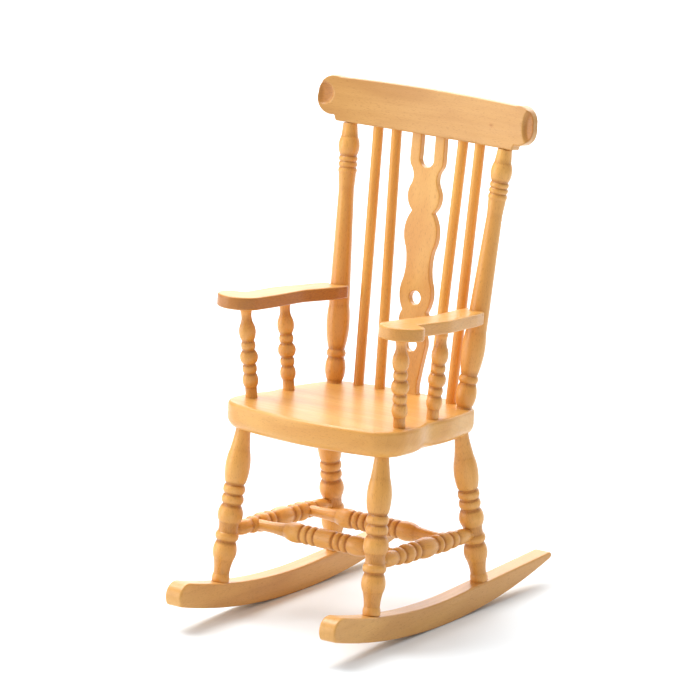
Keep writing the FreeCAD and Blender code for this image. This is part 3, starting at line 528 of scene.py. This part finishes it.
def ears(local, low, high):
    """The crest with a thumb-shaped hollow in the front face at both ends, painted shade in
    the hollows and a knot's darker colour.
    """
    across, up, out = local.T
    level = up.min() + 0.58 * (up.max() - up.min())
    front = np.clip((out - low) / (high - low) * 2 - 1, 0, 1)
    depth = np.zeros(len(local))
    scoop_shade = np.zeros(len(local))
    for sign, (middle, reach, tall, deep, rim_start) in SCOOPS.items():
        ring = np.hypot((sign * across - middle) / reach, (up - level) / tall)
        wall = np.clip((1.0 - ring) / 0.22, 0, 1)
        rim = np.clip((rim_start + 0.5 - sign * across) / 0.9, 0, 1)
        hollow = wall * (2 - wall) * rim * (2 - rim) * (0.6 + 0.4 * np.clip(1 - ring, 0, 1))
        depth += deep * hollow * front
        # painted shade: the hollows are painted darker than the rest of the front face
        scoop_shade += hollow * front
    moved = local.copy()
    moved[:, 2] -= depth
    knot_across, knot_up, half_width, half_height = KNOT
    aside, above = across - knot_across, up - up.min() - knot_up
    knot = np.exp(-(aside / half_width) ** 2 - (above / half_height) ** 2)
    return moved, np.clip(1.3 * scoop_shade + 1.5 * knot, 0, 1)


def crest():
    """The top rail: its front view cut from a board, scooped, then bent and leant back."""
    node = "crest_rail"
    points, triangles = shell(node)
    cos, sin = math.cos(LEAN), math.sin(LEAN)
    lean = np.array(((1, 0, 0), (0, cos, sin), (0, -sin, cos)))
    upright = points @ lean
    upright[:, 1] += bow(upright[:, 0])
    flat = np.column_stack((upright[:, 0], upright[:, 2], -upright[:, 1]))
    low, high = flat[:, 2].min(), flat[:, 2].max()
    normal = np.array((0.0, 0.0, 1.0))
    loop = section(flat, triangles, normal * (low + 0.06 * (high - low)), normal)[0]
    loop = resampled(loop[:, :2], 0.16, 4)
    local, faces = board([loop], low, high, 0.30, 0.30, 0.3, 0.22)
    local, stain_and_shade = ears(local, low, high)
    heart = random.uniform((0, -9, 5), (400, 9, 16))
    grain = (local - local.mean(0) + heart)[:, (1, 2, 0)]
    bent = np.column_stack((local[:, 0], -local[:, 2] - bow(local[:, 0]), local[:, 1]))
    add_piece(node, bent @ lean.T, faces, grain, stain_and_shade, crest_wood_with_shade)


crest()


# ---- floor, light and camera --------------------------------------------------------

def stage_floor():
    """A plain pale floor."""
    mesh = bpy.data.meshes.new("floor")
    reach = 12.0
    corners = [(-reach, -reach, 0), (reach, -reach, 0), (reach, reach, 0), (-reach, reach, 0)]
    mesh.from_pydata(corners, [], [(0, 1, 2, 3)])
    floor = bpy.data.objects.new("floor", mesh)
    bpy.context.scene.collection.objects.link(floor)
    paper = bpy.data.materials.new("pale_floor")
    paper.use_nodes = True
    shader = paper.node_tree.nodes["Principled BSDF"]
    shader.inputs["Base Color"].default_value = (0.80, 0.84, 0.86, 1.0)
    shader.inputs["Roughness"].default_value = 0.9
    shader.inputs["Specular IOR Level"].default_value = 0.1
    mesh.materials.append(paper)


def softbox(name, place, target, width, height, power):
    """A rectangular studio light that looks at a point. Places are in metres."""
    data = bpy.data.lights.new(name, "AREA")
    data.shape = "RECTANGLE"
    data.size, data.size_y = width, height
    data.energy = power
    lamp = bpy.data.objects.new(name, data)
    lamp.location = place
    lamp.rotation_euler = (Vector(target) - Vector(place)).to_track_quat("-Z", "Y").to_euler()
    bpy.context.scene.collection.objects.link(lamp)


def sunlight(source, spread, strength):
    """A distant soft light, from a direction and with an angular size in degrees."""
    data = bpy.data.lights.new("sky_panel", "SUN")
    data.energy = strength
    data.angle = math.radians(spread)
    lamp = bpy.data.objects.new("sky_panel", data)
    lamp.rotation_euler = (-Vector(source)).to_track_quat("-Z", "Y").to_euler()
    bpy.context.scene.collection.objects.link(lamp)


def daylight(strength):
    """An even pale surrounding."""
    world = bpy.data.worlds.new("studio")
    bpy.context.scene.world = world
    world.use_nodes = True
    background = world.node_tree.nodes["Background"]
    background.inputs["Color"].default_value = (0.94, 0.95, 0.97, 1.0)
    background.inputs["Strength"].default_value = strength


stage_floor()
middle = (Vector(cad_box[0]) + Vector(cad_box[1])) / 2
daylight(0.58)
sunlight((-0.35, 0.25, 1.0), 60.0, 2.0)
softbox("key", (-0.30, -0.10, 0.62), middle, 0.35, 0.35, 2.6)
softbox("back", (-0.22, 0.48, 0.42), middle, 0.60, 0.35, 2.0)
softbox("fill", (-0.65, -0.60, 0.20), middle, 0.60, 0.60, 3.2)
softbox("horizon", (-0.30, 1.30, 0.35), middle, 2.0, 0.7, 5.0)


def aim_camera():
    """The viewing angle: from the right of the front, a little above the seat."""
    azimuth, elevation, roll = math.radians(37.0), math.radians(14.74), math.radians(0.28)
    distance = 1.2716
    back = Vector((math.sin(azimuth) * math.cos(elevation),
                   -math.cos(azimuth) * math.cos(elevation), math.sin(elevation)))
    right = Vector((math.cos(azimuth), math.sin(azimuth), 0.0))
    up = back.cross(right)
    target = Vector((0.000061, -0.004446, 0.053620))
    turned_right = right * math.cos(roll) + up * math.sin(roll)
    turned_up = back.cross(turned_right)
    data = bpy.data.cameras.new("camera")
    data.lens = 334.24
    data.sensor_width = 36.0
    data.clip_start, data.clip_end = 0.05, 60.0
    camera = bpy.data.objects.new("camera", data)
    turn = Matrix((turned_right, turned_up, back)).transposed()
    camera.matrix_world = Matrix.Translation(target + back * distance) @ turn.to_4x4()
    bpy.context.scene.collection.objects.link(camera)
    bpy.context.scene.camera = camera


aim_camera()
bpy.context.scene.view_settings.view_transform = "Standard"
